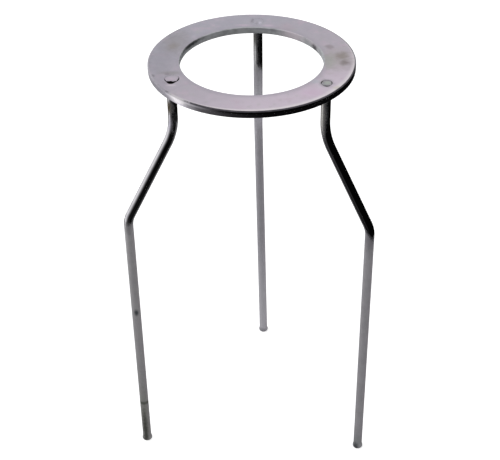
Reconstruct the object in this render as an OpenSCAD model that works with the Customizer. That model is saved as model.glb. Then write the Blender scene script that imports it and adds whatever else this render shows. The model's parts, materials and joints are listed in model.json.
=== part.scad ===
// Laboratory tripod stand: a flat steel ring carried by three bent rod legs.
// Each leg ends in a tenon that goes through the ring and is peened into a countersink.
// Millimetres, +Z up. The bench is the plane z = 0 and the ring's axis is the Z axis.

/* [Ring] */
// Outer diameter of the ring
ring_od = 101.6; // [98:0.1:130]
// Diameter of the ring's opening
ring_id = 70.4; // [55:0.1:72]
// Thickness of the ring's plate
ring_t = 3.4; // [2.8:0.1:6]
// Radius that blanking leaves on the ring's upper edges
ring_edge_r = 0.5; // [0.2:0.1:1]

/* [Legs] */
// Height of the ring's top face above the bench
stand_h = 231.8; // [190:0.1:300]
// Diameter of the leg rod
rod_d = 4.8; // [4.4:0.1:6.4]
// How far inside the middle of the ring's width the legs stand
leg_inset = 0.4; // [0:0.1:1.5]
// Drop from the ring's underside to the corner of the upper bend
stub_drop = 25.4; // [20:0.1:40]
// Length of the splayed run, from corner to corner
slope_l = 54.7; // [40:0.1:70]
// Splay of the sloping run from the vertical
splay = 28.5; // [15:0.5:35]
// Centre-line radius of the upper bend
upper_bend_r = 30.5; // [15:0.5:40]
// Centre-line radius of the lower bend
lower_bend_r = 13.2; // [8:0.1:20]
// Diameter that the rod loses where it is drawn round a bend
bend_thinning = 0.02; // [0.01:0.01:0.1]

/* [Riveting] */
// Diameter of the tenon turned on each leg's upper end
tenon_d = 3.8; // [3:0.1:4]
// Diameter of the back leg's countersink at the ring's top face
back_sink_d = 6.2; // [5.6:0.1:8.4]
// Diameter of the left leg's countersink, which was cut wider than the others
left_sink_d = 7.8; // [6.8:0.1:8.4]
// Diameter of the right leg's countersink
right_sink_d = 5.8; // [5.6:0.1:8.4]
// Depth of the countersinks
sink_depth = 1.7; // [1.2:0.1:2]
// Width of the groove left at the top face, between a peened head and its countersink
head_groove = 0.3; // [0.15:0.05:0.6]
// Clearance of tenon and head in the ring, measured on the radius
rivet_fit = 0.05; // [0.02:0.01:0.1]
// Distance from the left leg's axis to the side where its head has broken away
left_break = 2.3; // [2:0.1:3]

/* [Feet] */
// How far the upset end of each leg stands out past the rod, measured on the radius
foot_swell = 0.4; // [0.2:0.05:1]
// Height over which the rod swells into the foot
foot_h = 3.2; // [2:0.1:6]
// Radius of the foot's lower edge
foot_edge_r = 1.1; // [0.4:0.1:1.4]

/* [Hand Fitting] */
// Turn of the back leg about its own upper end
back_turn = 4.3; // [-15:0.1:15]
// Turn of the left leg about its own upper end
left_turn = -10; // [-15:0.1:15]
// Turn of the right leg about its own upper end
right_turn = 7.6; // [-15:0.1:15]
// Roll of the back leg's lower bend about the sloping run
back_roll = 1.9; // [-4:0.05:4]
// Roll of the left leg's lower bend about the sloping run
left_roll = -1.35; // [-4:0.05:4]
// Roll of the right leg's lower bend about the sloping run
right_roll = -0.85; // [-4:0.05:4]

/* [Hidden] */
$fn = 96;

// Directions of the three legs about the ring's axis
leg_spacing = 120;
back_az = 90;
left_az = back_az + leg_spacing;
right_az = left_az + leg_spacing;
// Direction in which the left leg's head has broken away, from the leg's own radial line
left_break_az = 60;

leg_pitch_r = (ring_od + ring_id) / 4 - leg_inset;
ring_z = stand_h - ring_t;

// Lengths of rod that the bends take from the straight runs on each side
upper_take = upper_bend_r * tan(splay / 2);
lower_take = lower_bend_r * tan(splay / 2);
stub_run = stub_drop - upper_take;
slope_run = slope_l - upper_take - lower_take;

// Height of a peened head's rim above the ring's underside, where its cone ends
function head_rim_z(sink_d) = ring_t - sink_depth
    + sink_depth * (sink_d - 2 * head_groove - tenon_d) / (sink_d - 2 * rivet_fit - tenon_d);

// Height of the lower bend's end, where the foot run starts
function foot_run_z(roll) =
    ring_z - stub_run
    - upper_bend_r * sin(splay)
    - slope_run * cos(splay)
    - lower_bend_r * (sin(splay) * cos(splay) + (1 - cos(splay)) * cos(roll) * sin(splay));
// Cosine of the foot run's lean from the vertical, which only the roll brings about
function foot_uprightness(roll) = pow(cos(splay), 2) + pow(sin(splay), 2) * cos(roll);
// Metal dressed off each foot so that it stands flat on the bench
foot_dress = 0.1;

// Block that stands for all the space above or below the plane z = 0, out to a given reach
module half_space(reach, side) {
    translate([-reach, -reach, side > 0 ? 0 : -2 * reach]) cube(2 * reach);
}

// Carries its children past a bend that turns by an angle toward +X
module past_bend(angle, r) {
    translate([r, 0, 0]) rotate([0, -angle, 0]) translate([-r, 0, 0]) children();
}

// Rod bent from -Z toward +X, cut square to both runs; the children go on from its end
module bend(angle, r) {
    reach = 2 * (r + rod_d);
    intersection() {
        translate([r, 0, 0]) rotate([90, 0, 0])
            rotate_extrude() translate([r, 0]) circle(d = rod_d - bend_thinning);
        half_space(reach, -1);
        past_bend(angle, r) half_space(reach, 1);
    }
    past_bend(angle, r) children();
}

// Straight rod from the origin down -Z; the children go on from its end
module run(length) {
    translate([0, 0, -length]) {
        cylinder(d = rod_d, h = length);
        children();
    }
}

// Upper end of a leg, turned in one piece: stub, shoulder, tenon and peened head
module stub(sink_d) {
    head_r = sink_d / 2 - head_groove;
    rotate_extrude()
        polygon([
            [0, -stub_run],
            [rod_d / 2, -stub_run],
            [rod_d / 2, 0],
            [tenon_d / 2, 0],
            [tenon_d / 2, ring_t - sink_depth],
            [head_r, head_rim_z(sink_d)],
            [head_r, ring_t],
            [0, ring_t]
        ]);
}

// Side of a head that has broken away down to the neck
module broken_side(distance, sink_d) {
    translate([distance, -sink_d, ring_t - sink_depth]) cube([sink_d, 2 * sink_d, 2 * sink_depth]);
}

// Lower run of a leg with its upset foot, from the origin down -Z
module foot_run(length) {
    foot_r = rod_d / 2 + foot_swell;
    flat_r = foot_r - foot_edge_r;
    translate([0, 0, -length]) rotate_extrude() {
        polygon([
            [0, length],
            [rod_d / 2, length],
            [rod_d / 2, foot_h],
            [foot_r, foot_edge_r],
            [0, foot_edge_r]
        ]);
        square([flat_r, foot_edge_r]);
        translate([flat_r, foot_edge_r]) circle(foot_edge_r);
    }
}

// The leg's own frame: origin on the ring's underside, at the middle of the rod
module leg_body(roll, sink_d) {
    stub(sink_d);
    translate([0, 0, -stub_run])
        bend(splay, upper_bend_r)
            run(slope_run)
                rotate([0, 0, 180 + roll])
                    bend(splay, lower_bend_r)
                        foot_run(foot_run_z(roll) / foot_uprightness(roll) + foot_dress);
}

// A whole leg in its place; the children are cut from its head, in the leg's radial frame
module leg(az, turn, roll, sink_d) {
    difference() {
        rotate([0, 0, az]) translate([leg_pitch_r, 0, ring_z]) difference() {
            rotate([0, 0, turn]) leg_body(roll, sink_d);
            children();
        }
        half_space(2 * stand_h, -1);
    }
}

// Cross-section of the ring, with its two upper edges rounded
module ring_section() {
    inner_r = ring_id / 2;
    width = ring_od / 2 - inner_r;
    translate([inner_r, 0]) {
        square([width, ring_t - ring_edge_r]);
        translate([ring_edge_r, 0]) square([width - 2 * ring_edge_r, ring_t]);
        for (x = [ring_edge_r, width - ring_edge_r])
            translate([x, ring_t - ring_edge_r]) circle(ring_edge_r);
    }
}

// Hole for a tenon, countersunk from above; its cutters run on past both faces
module leg_hole(sink_d) {
    hole_r = tenon_d / 2 + rivet_fit;
    sink_flare = (sink_d / 2 - hole_r) / sink_depth;
    translate([0, 0, -ring_t]) cylinder(r = hole_r, h = 3 * ring_t);
    translate([0, 0, ring_t - sink_depth])
        cylinder(r1 = hole_r, r2 = hole_r + 2 * sink_depth * sink_flare, h = 2 * sink_depth);
}

module ring() {
    color([0.69, 0.67, 0.72])
        translate([0, 0, ring_z]) difference() {
            rotate_extrude() ring_section();
            for (place = [[back_az, back_sink_d], [left_az, left_sink_d], [right_az, right_sink_d]])
                rotate([0, 0, place[0]]) translate([leg_pitch_r, 0, 0]) leg_hole(place[1]);
        }
}

module leg_back() {
    color([0.56, 0.55, 0.6]) leg(back_az, back_turn, back_roll, back_sink_d);
}

module leg_left() {
    color([0.48, 0.47, 0.5])
        leg(left_az, left_turn, left_roll, left_sink_d)
            rotate([0, 0, left_break_az]) broken_side(left_break, left_sink_d);
}

module leg_right() {
    color([0.47, 0.46, 0.49]) leg(right_az, right_turn, right_roll, right_sink_d);
}

ring();
leg_back();
leg_left();
leg_right();
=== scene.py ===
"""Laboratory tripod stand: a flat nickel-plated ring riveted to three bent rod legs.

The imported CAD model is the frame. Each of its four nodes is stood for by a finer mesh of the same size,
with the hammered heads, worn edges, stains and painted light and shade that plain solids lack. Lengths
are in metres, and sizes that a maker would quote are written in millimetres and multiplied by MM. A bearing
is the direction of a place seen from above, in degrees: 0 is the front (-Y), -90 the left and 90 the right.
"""

import json
import logging
import math
from collections.abc import Callable, Iterable, Sequence
from dataclasses import dataclass, field
from enum import Enum, IntEnum

import bpy
from mathutils import Matrix, Vector, noise

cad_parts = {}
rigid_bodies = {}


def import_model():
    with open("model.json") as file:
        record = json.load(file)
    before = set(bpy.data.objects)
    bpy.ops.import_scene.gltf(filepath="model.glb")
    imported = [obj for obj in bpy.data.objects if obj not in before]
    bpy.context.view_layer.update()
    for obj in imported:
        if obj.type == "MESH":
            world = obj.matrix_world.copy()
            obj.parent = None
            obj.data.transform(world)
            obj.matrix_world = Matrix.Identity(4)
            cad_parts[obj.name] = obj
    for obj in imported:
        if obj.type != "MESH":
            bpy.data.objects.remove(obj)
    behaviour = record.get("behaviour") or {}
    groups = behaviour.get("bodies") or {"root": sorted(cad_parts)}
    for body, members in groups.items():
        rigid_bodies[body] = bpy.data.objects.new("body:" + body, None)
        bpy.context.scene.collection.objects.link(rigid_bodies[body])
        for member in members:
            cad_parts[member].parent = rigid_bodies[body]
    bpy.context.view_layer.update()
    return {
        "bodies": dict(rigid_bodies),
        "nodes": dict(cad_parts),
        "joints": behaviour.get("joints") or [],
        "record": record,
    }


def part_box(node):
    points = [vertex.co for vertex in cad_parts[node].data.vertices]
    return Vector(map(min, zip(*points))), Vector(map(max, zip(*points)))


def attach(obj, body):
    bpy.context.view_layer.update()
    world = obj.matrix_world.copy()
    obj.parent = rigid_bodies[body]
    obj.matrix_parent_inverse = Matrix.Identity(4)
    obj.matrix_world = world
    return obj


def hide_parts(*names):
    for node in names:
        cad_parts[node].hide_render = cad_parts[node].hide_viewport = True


LOG = logging.getLogger("tripod_stand")
MM = 0.001

Colour = tuple[float, float, float, float]
WHITE: Colour = (1.0, 1.0, 1.0, 1.0)
Socket = bpy.types.NodeSocket
Tree = bpy.types.NodeTree
Material = bpy.types.Material
Piece = bpy.types.Object
Profile = list[tuple[float, float]]


class Leg(Enum):
    """The three legs, by the names of their CAD nodes."""

    BACK = "leg_back"
    LEFT = "leg_left"
    RIGHT = "leg_right"


class RingFace(IntEnum):
    """Parts of the ring that have finishes of their own, in the order of its materials."""

    FLAT = 0
    RIM = 1
    CORNER = 2
    BORE = 3
    SEAT = 4


class LegFace(IntEnum):
    """Parts of a leg that have finishes of their own, in the order of its materials."""

    ROD = 0
    HEAD = 1
    NECK = 2


class Kind(Enum):
    """Kinds of shader node that the finishes are made of, by Blender's own names."""

    ADD_SHADER = "ShaderNodeAddShader"
    ATTRIBUTE = "ShaderNodeAttribute"
    BACKGROUND = "ShaderNodeBackground"
    BUMP = "ShaderNodeBump"
    COORDINATES = "ShaderNodeTexCoord"
    DIFFUSE = "ShaderNodeBsdfDiffuse"
    EMISSION = "ShaderNodeEmission"
    GRADIENT = "ShaderNodeTexGradient"
    LIGHT_PATH = "ShaderNodeLightPath"
    MAP_RANGE = "ShaderNodeMapRange"
    MAPPING = "ShaderNodeMapping"
    MATERIAL_OUTPUT = "ShaderNodeOutputMaterial"
    MATH = "ShaderNodeMath"
    MIX = "ShaderNodeMix"
    NOISE = "ShaderNodeTexNoise"
    PRINCIPLED = "ShaderNodeBsdfPrincipled"
    RAMP = "ShaderNodeValToRGB"
    SEPARATE = "ShaderNodeSeparateXYZ"
    VECTOR_MATH = "ShaderNodeVectorMath"
    WORLD_OUTPUT = "ShaderNodeOutputWorld"


# ---------------------------------------------------------------- colours and nodes


def hex_colour(code: str) -> Colour:
    """Turns an sRGB hex colour into the linear colour that a shader takes.

    Args:
        code: Six hex digits with a leading hash, such as "#c8c4cc".

    Returns:
        Linear red, green, blue and an alpha of 1.
    """
    channels = (int(code[i : i + 2], 16) / 255 for i in (1, 3, 5))
    linear = (c / 12.92 if c <= 0.04045 else ((c + 0.055) / 1.055) ** 2.4 for c in channels)
    return (*linear, 1.0)


def add_node(
    tree: Tree, kind: Kind, inputs: dict[str | int, object] | None = None, **settings: object
) -> bpy.types.Node:
    """Adds one shader node with its settings, values and links.

    Args:
        tree: Node tree that the node joins.
        kind: Kind of node.
        inputs: What goes into each input, by name or number: a socket is linked, anything else is a value.
        **settings: Attributes of the node itself, such as operation="MULTIPLY".

    Returns:
        The new node.
    """
    node = tree.nodes.new(kind.value)
    for name, setting in settings.items():
        setattr(node, name, setting)
    for key, value in (inputs or {}).items():
        if isinstance(value, Socket):
            tree.links.new(value, node.inputs[key])
        else:
            node.inputs[key].default_value = value
    return node


def new_tree(name: str) -> tuple[Material, Tree]:
    """Makes a material with an empty node tree.

    Args:
        name: Name of the material.

    Returns:
        The material and its tree.
    """
    material = bpy.data.materials.new(name)
    material.use_nodes = True
    material.node_tree.nodes.clear()
    return material, material.node_tree


def millimetres(tree: Tree) -> Socket:
    """Position on the object in millimetres, from its own coordinates."""
    place = add_node(tree, Kind.COORDINATES).outputs["Object"]
    return add_node(tree, Kind.VECTOR_MATH, {0: place, 3: 1 / MM}, operation="SCALE").outputs[0]


@dataclass(frozen=True)
class Layer:
    """A colour that is laid where some value has passed from a start to an end.

    Nothing is laid up to the start, and it is at its thickest from the end, which may lie below the start.
    There the colour's share is the most, and dulls says how much it takes the polish, from 0 to 1.
    """

    colour: str
    start: float
    end: float
    most: float = 1.0
    dulls: float = 0.0


class Coat:
    """A metal material in the making: one colour, then layers over it, then its gloss and relief."""

    # the gloss drifts by this much, in clouds of this width
    GLOSS_CLOUD_MM = 4.0
    GLOSS_DRIFT = {"From Min": 0.3, "From Max": 0.7, "To Min": 0.85, "To Max": 1.2}

    def __init__(self, name: str, base: str) -> None:
        """Starts with one colour all over.

        Args:
            name: Name of the material.
            base: Colour of the bare metal.
        """
        self.material, self.tree = new_tree(name)
        self.where = millimetres(self.tree)
        self.colour: Socket | Colour = hex_colour(base)
        self.dullness: Socket | float = 0.0

    def cloud(self, width: float, detail: float = 3.0) -> Socket:
        """Noise round 0.5 in clouds of a given width in millimetres, more ragged with more detail."""
        inputs = {"Vector": self.where, "Scale": 1 / width, "Detail": detail}
        return add_node(self.tree, Kind.NOISE, inputs).outputs["Fac"]

    def cover(self, layer: Layer, value: Socket) -> None:
        """Lays a layer over the surface.

        Args:
            layer: The layer.
            value: The value that decides where it lies.
        """
        ends = {"Value": value, "From Min": layer.start, "From Max": layer.end}
        share = add_node(self.tree, Kind.MAP_RANGE, ends, interpolation_type="SMOOTHSTEP").outputs[0]
        amount = add_node(self.tree, Kind.MATH, {0: share, 1: layer.most}, operation="MULTIPLY").outputs[0]
        inputs = {0: amount, 6: self.colour, 7: hex_colour(layer.colour)}
        self.colour = add_node(self.tree, Kind.MIX, inputs, data_type="RGBA").outputs[2]
        if layer.dulls:
            hazed = {0: share, 1: layer.dulls}
            haze = add_node(self.tree, Kind.MATH, hazed, operation="MULTIPLY").outputs[0]
            both = {0: haze, 1: self.dullness}
            self.dullness = add_node(self.tree, Kind.MATH, both, operation="MAXIMUM").outputs[0]

    def dulled(self, levels: Sequence[float]) -> Socket | float:
        """Carries a level over from the polished metal to the dull.

        Args:
            levels: The level where it is polished and, last, the level where it is dull.

        Returns:
            The level at each place, or the first level if nothing dulls the metal.
        """
        if not isinstance(self.dullness, Socket):
            return levels[0]
        blend = {"Value": self.dullness, "To Min": levels[0], "To Max": levels[-1]}
        return add_node(self.tree, Kind.MAP_RANGE, blend).outputs[0]

    def finish(
        self,
        roughness: Sequence[float],
        metallic: Sequence[float],
        relief: Socket | None = None,
        edge_tint: str = "#ffffff",
    ) -> Material:
        """Ends the material with its gloss, which drifts a little from place to place.

        Args:
            roughness: Roughness where the metal is polished and, if it is dulled, where it is dull.
            metallic: How metallic it is in the same places: less than 1 under an oxide film.
            relief: Normal with the surface's fine relief, if it has any.
            edge_tint: Tint of the metal's reflection at a grazing angle.

        Returns:
            The finished material.
        """
        uneven = {"Value": self.cloud(self.GLOSS_CLOUD_MM), **self.GLOSS_DRIFT}
        drift = add_node(self.tree, Kind.MAP_RANGE, uneven).outputs[0]
        pair = {0: self.dulled(roughness), 1: drift}
        rough = add_node(self.tree, Kind.MATH, pair, operation="MULTIPLY").outputs[0]
        inputs = {
            "Base Color": self.colour,
            "Roughness": rough,
            "Metallic": self.dulled(metallic),
            "Specular Tint": hex_colour(edge_tint),
        }
        if relief is not None:
            inputs["Normal"] = relief
        shader = add_node(self.tree, Kind.PRINCIPLED, inputs).outputs[0]
        add_node(self.tree, Kind.MATERIAL_OUTPUT, {"Surface": shader})
        return self.material


# ---------------------------------------------------------------- meshes


@dataclass
class MeshDraft:
    """Vertices and faces that are gathered before they become one mesh."""

    points: list[Vector] = field(default_factory=list)
    faces: list[tuple[int, ...]] = field(default_factory=list)
    finishes: list[int] = field(default_factory=list)
    tags: dict[int, Vector] = field(default_factory=dict)

    def add_loop(self, points: Iterable[Vector]) -> list[int]:
        """Adds points.

        Args:
            points: The points, in order.

        Returns:
            Their numbers.
        """
        start = len(self.points)
        self.points.extend(Vector(p) for p in points)
        return list(range(start, len(self.points)))

    def add_face(self, corners: Sequence[int], finish: int) -> None:
        """Adds one face with the number of its finish."""
        self.faces.append(tuple(corners))
        self.finishes.append(int(finish))

    def bridge(self, first: Sequence[int], second: Sequence[int], finish: int) -> None:
        """Joins two closed loops of the same length with a band of quads.

        Args:
            first: Point numbers of the loop that the band starts from.
            second: Point numbers of the loop that it ends at. Seen from outside, it lies to the left of
                the first loop's direction.
            finish: Number of the band's finish.
        """
        count = len(first)
        for i in range(count):
            j = (i + 1) % count
            self.add_face((first[i], first[j], second[j], second[i]), finish)

    def skin(self, loops: Sequence[Sequence[int]], finish: int) -> None:
        """Bridges each loop to the next."""
        for first, second in zip(loops, loops[1:]):
            self.bridge(first, second, finish)

    def close(self, loop: Sequence[int], finish: int) -> None:
        """Closes a loop with triangles that meet at its middle.

        Args:
            loop: Point numbers of the loop, anticlockwise from outside.
            finish: Number of the triangles' finish.
        """
        middle = sum((self.points[i] for i in loop), Vector()) / len(loop)
        apex = self.add_loop([middle])[0]
        for i, corner in enumerate(loop):
            self.add_face((corner, loop[(i + 1) % len(loop)], apex), finish)

    def to_object(self, name: str, materials: Sequence[Material]) -> Piece:
        """Turns the draft into a smooth-shaded object.

        Args:
            name: Name of the object.
            materials: Materials in the order of the finish numbers.

        Returns:
            The object, linked into the scene.
        """
        used = sorted({corner for face in self.faces for corner in face})
        number = {old: new for new, old in enumerate(used)}
        mesh = bpy.data.meshes.new(name)
        mesh.from_pydata([self.points[i] for i in used], [], [[number[c] for c in f] for f in self.faces])
        if self.tags:
            layer = mesh.attributes.new("straightened", "FLOAT_VECTOR", "POINT")
            for new, old in enumerate(used):
                layer.data[new].vector = self.tags.get(old, Vector())
        for material in materials:
            mesh.materials.append(material)
        mesh.polygons.foreach_set("material_index", self.finishes)
        mesh.shade_smooth()
        mesh.validate()
        mesh.update()
        piece = bpy.data.objects.new(name, mesh)
        bpy.context.scene.collection.objects.link(piece)
        return piece


def arc(centre: tuple[float, float], radius: float, start: float, end: float, steps: int) -> Profile:
    """Points along an arc in a profile plane.

    Args:
        centre: Middle of the arc.
        radius: Its radius.
        start: Angle of the first point, in degrees.
        end: Angle of the last point, in degrees.
        steps: Number of equal steps between them.

    Returns:
        The points, both ends included.
    """
    angles = (math.radians(a) for a in between(start, end, steps))
    return [(centre[0] + radius * math.cos(a), centre[1] + radius * math.sin(a)) for a in angles]


def between(start: float, end: float, steps: int) -> list[float]:
    """Evenly spaced numbers from start to end, both included."""
    return [start + (end - start) * i / steps for i in range(steps + 1)]


def bump_at(distance: float, width: float) -> float:
    """Height of a round bump, from 1 at its middle to nothing past about two widths."""
    return math.exp(-((distance / width) ** 2))


def turn_between(first: float, second: float) -> float:
    """Signed turn from the second direction to the first, in degrees, at most half a circle."""
    return (first - second + 180) % 360 - 180


# ---------------------------------------------------------------- shared sizes


@dataclass(frozen=True)
class Opening:
    """A stretch of the groove beside a peened head that stands open.

    Bearing and spread are in degrees, the width in its middle in millimetres.
    """

    bearing: float
    spread: float
    width: float


@dataclass(frozen=True)
class Riveting:
    """How one leg's head is peened into its countersink. Lengths are in millimetres.

    The countersink is a circle, which may be cut off the leg's axis by a shift towards X and Y. The chip
    is a place where it was cut too far out, and the tight gap is the least that shows anywhere. A gap as
    wide as open_from leaves the edges beside it in full relief.
    """

    sink_d: float
    openings: tuple[Opening, ...]
    shift: tuple[float, float] = (0.0, 0.0)
    tight: float = 0.0
    chip: Opening = Opening(0.0, 1.0, 0.0)
    open_from: float = 0.15

    def gap(self, bearing: float) -> float:
        """Width of the groove in one direction."""
        away = ((o, turn_between(bearing, o.bearing)) for o in self.openings)
        return self.tight + max(o.width * bump_at(turn, o.spread) for o, turn in away)

    def openness(self, bearing: float) -> float:
        """How open the groove is in one direction, from 0, where the head fills the countersink, to 1."""
        return min(1.0, self.gap(bearing) / self.open_from)

    def edge_r(self, bearing: float) -> float:
        """Works out how far the countersink reaches in one direction.

        Args:
            bearing: The direction, in degrees.

        Returns:
            Distance from the leg's axis to the countersink's edge.
        """
        angle = math.radians(bearing - 90)
        along = self.shift[0] * math.cos(angle) + self.shift[1] * math.sin(angle)
        across = self.shift[0] * math.sin(angle) - self.shift[1] * math.cos(angle)
        chip = self.chip.width * bump_at(turn_between(bearing, self.chip.bearing), self.chip.spread)
        return along + math.sqrt((self.sink_d / 2) ** 2 - across * across) + chip


@dataclass(frozen=True)
class LegPlace:
    """Where one leg stands, how it was fitted by hand, and how its head was peened. Angles in degrees."""

    leg: Leg
    azimuth: float
    turn: float
    roll: float
    riveting: Riveting


@dataclass(frozen=True)
class PlateSizes:
    """Sizes of the ring's edges, leg holes and slight unevenness, in millimetres.

    A skin is a narrow band of faces that keeps the shading of a corner off the face beside it. A nick
    moves the metal by a share of its depth inwards, and by another down.
    """

    corner_w: float = 0.75
    corner_h: float = 0.5
    lower_edge_r: float = 0.12
    barrel: float = 0.06
    rollover_r: float = 0.45
    rollover_skin: float = 0.05
    burr_r: float = 0.15
    leg_inset: float = 0.4
    tenon_d: float = 3.8
    hole_fit: float = 0.05
    sink_depth: float = 1.7
    sink_bevel: float = 0.04
    wave_w: float = 14.0
    wave_h: float = 0.02
    nick_reach: float = 0.9
    nick_inward: float = 0.6
    nick_down: float = 0.8


@dataclass(frozen=True)
class RodSizes:
    """Sizes that the three legs share, in millimetres, with the splay in degrees."""

    rod_d: float = 4.8
    stub_drop: float = 25.4
    slope_l: float = 54.7
    splay: float = 28.5
    upper_bend_r: float = 30.5
    lower_bend_r: float = 13.2
    foot_swell: float = 0.4
    foot_h: float = 3.2
    foot_edge_r: float = 1.1

    def take(self, bend_r: float) -> float:
        """Length that a bend takes from each of the straight runs it joins."""
        return bend_r * math.tan(math.radians(self.splay / 2))


@dataclass(frozen=True)
class HeadSizes:
    """Sizes that the three peened heads share, in millimetres.

    The edge is a short fall of the crown towards its rim: shares of the rim's radius, each with its drop.
    """

    shoulder_skin: float = 0.02
    rim_h: float = 0.25
    edge: tuple[tuple[float, float], ...] = ((1.0, 0.1), (0.985, 0.03), (0.95, 0.0))
    crown: tuple[float, ...] = (0.8, 0.6, 0.4, 0.2)
    raggedness: float = 0.3
    ragged_turns: float = 2.0
    hammered_h: float = 0.2
    hammer_w: float = 1.3
    hammer_depth: float = 0.04


# the back head shows only faint breaks at its two sides
BACK_RIVETING = Riveting(6.2, (Opening(-88, 14, 0.08), Opening(85, 12, 0.04)))
# the left head has broken away at the front, where its countersink was cut too far out
LEFT_RIVETING = Riveting(
    sink_d=7.15,
    openings=(Opening(5, 28, 3.3), Opening(-54, 21, 0.5), Opening(73, 25, 0.85), Opening(26, 23, 2.0)),
    shift=(0.48, -0.4),
    chip=Opening(4.5, 26, 1.6),
)
# the right head is small for its countersink, and the groove round it comes and goes
RIGHT_RIVETING = Riveting(
    sink_d=5.55,
    openings=(Opening(-98, 34, 0.5), Opening(3, 26, 1.1), Opening(86, 30, 0.45), Opening(178, 50, 0.14)),
    shift=(0.05, -0.3),
    tight=0.08,
    chip=Opening(3, 28, 0.8),
)
LEGS = (
    LegPlace(Leg.BACK, azimuth=90, turn=4.3, roll=1.9, riveting=BACK_RIVETING),
    LegPlace(Leg.LEFT, azimuth=210, turn=-10, roll=-1.35, riveting=LEFT_RIVETING),
    LegPlace(Leg.RIGHT, azimuth=330, turn=7.6, roll=-0.85, riveting=RIGHT_RIVETING),
)


# ---------------------------------------------------------------- finishes


@dataclass(frozen=True)
class Marks:
    """Fine parallel marks that tools have left in the metal.

    Spacing and depth are in millimetres. The pattern is stretched along the way where squeeze is small.
    """

    spacing: float
    depth: float
    strength: float
    squeeze: tuple[float, float, float]

    def relief(self, tree: Tree, place: Socket) -> Socket:
        """Makes the marks.

        Args:
            tree: Node tree to work in.
            place: Position on the piece, in millimetres.

        Returns:
            Normal of the marked surface.
        """
        pair = {0: place, 1: self.squeeze}
        squeezed = add_node(tree, Kind.VECTOR_MATH, pair, operation="MULTIPLY").outputs[0]
        marks = add_node(tree, Kind.NOISE, {"Vector": squeezed, "Scale": 1 / self.spacing}).outputs["Fac"]
        height = {"Strength": self.strength, "Distance": self.depth * MM, "Height": marks}
        return add_node(tree, Kind.BUMP, height).outputs[0]


@dataclass(frozen=True)
class StainAndPaintedLight:
    """A stain on the metal, or a patch of painted light or shade laid in the same way.

    Place and size are in millimetres, and a size of 0 runs the stain right through that way. Strength is
    the share of its colour at the middle, and dulls says how much it takes the polish there. It is full
    up to the inner share of its half size and fades out at the outer one.
    """

    place: tuple[float, float, float]
    size: tuple[float, float, float]
    colour: str
    strength: float
    dulls: float = 0.0
    fray: float = 0.9
    inner: float = 0.25
    outer: float = 1.35

    def lay(self, coat: Coat, ragged: Socket) -> None:
        """Lays the stain over a coat.

        Args:
            coat: The coat.
            ragged: Noise round 0.5 that frays the outline.
        """
        tree, place = coat.tree, coat.where
        reach = tuple(2 / size if size else 0.0 for size in self.size)
        for operation, other in (("SUBTRACT", self.place), ("MULTIPLY", reach)):
            place = add_node(tree, Kind.VECTOR_MATH, {0: place, 1: other}, operation=operation).outputs[0]
        away = add_node(tree, Kind.VECTOR_MATH, {0: place}, operation="LENGTH").outputs["Value"]
        frayed = {0: ragged, 1: self.fray, 2: away}
        edge = add_node(tree, Kind.MATH, frayed, operation="MULTIPLY_ADD").outputs[0]
        out, full = self.fray / 2 + self.outer, self.fray / 2 + self.inner
        coat.cover(Layer(self.colour, out, full, self.strength, self.dulls), edge)


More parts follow.
